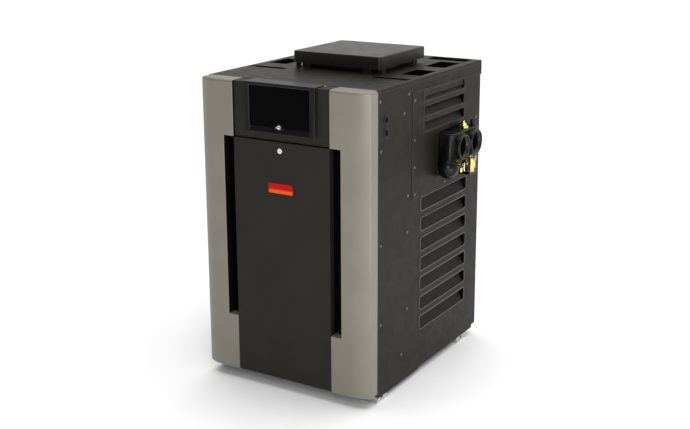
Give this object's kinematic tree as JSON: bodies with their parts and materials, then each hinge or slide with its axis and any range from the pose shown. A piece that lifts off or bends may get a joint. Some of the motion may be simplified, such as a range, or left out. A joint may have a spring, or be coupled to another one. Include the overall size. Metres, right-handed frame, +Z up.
{
  "type": "gas pool heater",
  "caption": "Floor-standing gas pool heater: sheet-metal cabinet with louvred sides, pull-off door, flip-up control cover, vent cap and side water headers.",
  "frame": {"origin": "on the floor, at the centre of the rectangle of four anchor holes in the base rails", "axes": "+X to the right seen from the front, where the water ports are; front at -Y; +Z up"},
  "size_m": [0.6374, 0.6745, 0.9025],
  "materials": {
    "pillar_finish": "champagne grey metallic powder coat, satin",
    "cabinet_finish": "charcoal powder coat, fine texture",
    "door_finish": "charcoal powder coat, fine texture",
    "control_plastic": "black moulded plastic, fine grain",
    "smoked_window": "smoked polycarbonate, glossy",
    "cap_finish": "charcoal powder coat, heat resistant",
    "galvanised": "hot-dip galvanised sheet, dull spangle",
    "bright_chrome": "bright chrome plate",
    "badge_finish": "two-tone red and orange enamel plate, plain",
    "screw_steel": "zinc-plated steel",
    "header_polymer": "black glass-filled polymer, semi-gloss",
    "brass_fitting": "machined brass",
    "rubber_part": "black rubber",
    "aluminised": "aluminised steel sheet, dull",
    "copper_tube": "finned copper tube",
    "refractory": "fibrous refractory board",
    "cast_aluminium": "die-cast aluminium",
    "black_iron": "black iron pipe",
    "board_green": "printed circuit board",
    "display_glass": "liquid crystal display, switched off",
    "button_rubber": "grey silicone rubber",
    "box_plastic": "dark grey moulded plastic",
    "red_plastic": "red moulded plastic",
    "steel_part": "plated steel",
    "cable_jacket": "black cable jacket"
  },
  "bodies": {
    "cabinet": {"base_pan": "cabinet_finish", "base_rails": "galvanised", "left_side_panel": "cabinet_finish", "right_side_panel": "cabinet_finish", "rear_panel": "cabinet_finish", "top_panel": "cabinet_finish", "front_frame": "aluminised", "left_pillar": "pillar_finish", "right_pillar": "pillar_finish", "control_panel": "door_finish", "cover_hinge_pin": "steel_part", "flue_collar": "cap_finish", "vent_cap": "cap_finish", "vent_cap_legs": "cap_finish", "access_panel": "cabinet_finish", "panel_screws": "screw_steel", "conduit_bushings": "rubber_part", "control_box": "box_plastic", "circuit_board": "board_green", "display_screen": "display_glass", "transformer": "steel_part", "inout_header": "header_polymer", "port_collars": "header_polymer", "return_header": "header_polymer", "header_gaskets": "rubber_part", "header_bolts": "screw_steel", "tube_sheets": "steel_part", "relief_valve": "brass_fitting", "drain_cock": "brass_fitting", "sensor_fitting": "brass_fitting", "sensor_plug": "header_polymer", "bypass_spring": "steel_part", "finned_tubes": "copper_tube", "exchanger_baffles": "aluminised", "refractory_boards": "refractory", "heat_shield": "aluminised", "flue_collector": "aluminised", "burner_tray": "aluminised", "burners": "steel_part", "gas_manifold": "black_iron", "gas_orifices": "brass_fitting", "gas_valve": "cast_aluminium", "gas_inlet_pipe": "black_iron", "igniter": "steel_part", "pressure_switch": "box_plastic", "wiring_harness": "cable_jacket"},
    "control_cover": {"control_cover": "control_plastic", "control_window": "smoked_window"},
    "cover_latch": {"cover_latch": "bright_chrome"},
    "front_door": {"front_door": "door_finish", "door_badge": "badge_finish"},
    "door_latch": {"door_latch": "bright_chrome"},
    "up_button": {"up_button": "button_rubber"},
    "down_button": {"down_button": "button_rubber"},
    "mode_button": {"mode_button": "button_rubber"},
    "power_switch": {"power_switch": "red_plastic"},
    "gas_valve_knob": {"gas_valve_knob": "red_plastic"},
    "relief_lever": {"relief_lever": "steel_part"},
    "drain_handle": {"drain_handle": "bright_chrome"},
    "bypass_valve": {"bypass_valve": "brass_fitting"}
  },
  "joints": [
    {"name": "control_cover_flip", "type": "hinge", "parent": "cabinet", "child": "control_cover", "pos_m": [0, -0.284, 0.854], "axis": [-1, 0, 0], "range_deg": [0, 100]},
    {"name": "cover_latch_turn", "type": "hinge", "parent": "control_cover", "child": "cover_latch", "pos_m": [0, -0.33, 0.7435], "axis": [0, 1, 0], "range_deg": [0, 90]},
    {"name": "front_door_pull", "type": "slide", "parent": "cabinet", "child": "front_door", "axis": [0, -1, 0], "range_m": [0, 0.3]},
    {"name": "door_latch_turn", "type": "hinge", "parent": "front_door", "child": "door_latch", "pos_m": [0, -0.33, 0.68], "axis": [0, -1, 0], "range_deg": [0, 90]},
    {"name": "up_button_press", "type": "slide", "parent": "cabinet", "child": "up_button", "axis": [0, 1, 0], "range_m": [0, 0.0012], "stiffness_N_per_m": 900},
    {"name": "down_button_press", "type": "slide", "parent": "cabinet", "child": "down_button", "axis": [0, 1, 0], "range_m": [0, 0.0012], "stiffness_N_per_m": 900},
    {"name": "mode_button_press", "type": "slide", "parent": "cabinet", "child": "mode_button", "axis": [0, 1, 0], "range_m": [0, 0.0012], "stiffness_N_per_m": 900},
    {"name": "power_switch_rock", "type": "hinge", "parent": "cabinet", "child": "power_switch", "pos_m": [-0.07, -0.297, 0.762], "axis": [1, 0, 0], "range_deg": [0, 16]},
    {"name": "gas_valve_turn", "type": "hinge", "parent": "cabinet", "child": "gas_valve_knob", "pos_m": [-0.024, -0.17, 0.28], "axis": [0, 0, 1], "range_deg": [0, 90]},
    {"name": "relief_lever_lift", "type": "hinge", "parent": "cabinet", "child": "relief_lever", "pos_m": [0.3237, 0.15, 0.608], "axis": [0, -1, 0], "range_deg": [0, 80]},
    {"name": "drain_cock_turn", "type": "hinge", "parent": "cabinet", "child": "drain_handle", "pos_m": [0.326, 0.096, 0.588], "axis": [1, 0, 0], "range_deg": [0, 90]},
    {"name": "bypass_valve_lift", "type": "slide", "parent": "cabinet", "child": "bypass_valve", "axis": [0, 1, 0], "range_m": [0, 0.008], "stiffness_N_per_m": 1500, "springref_m": -0.004, "deforming": ["bypass_spring"]}
  ]
}
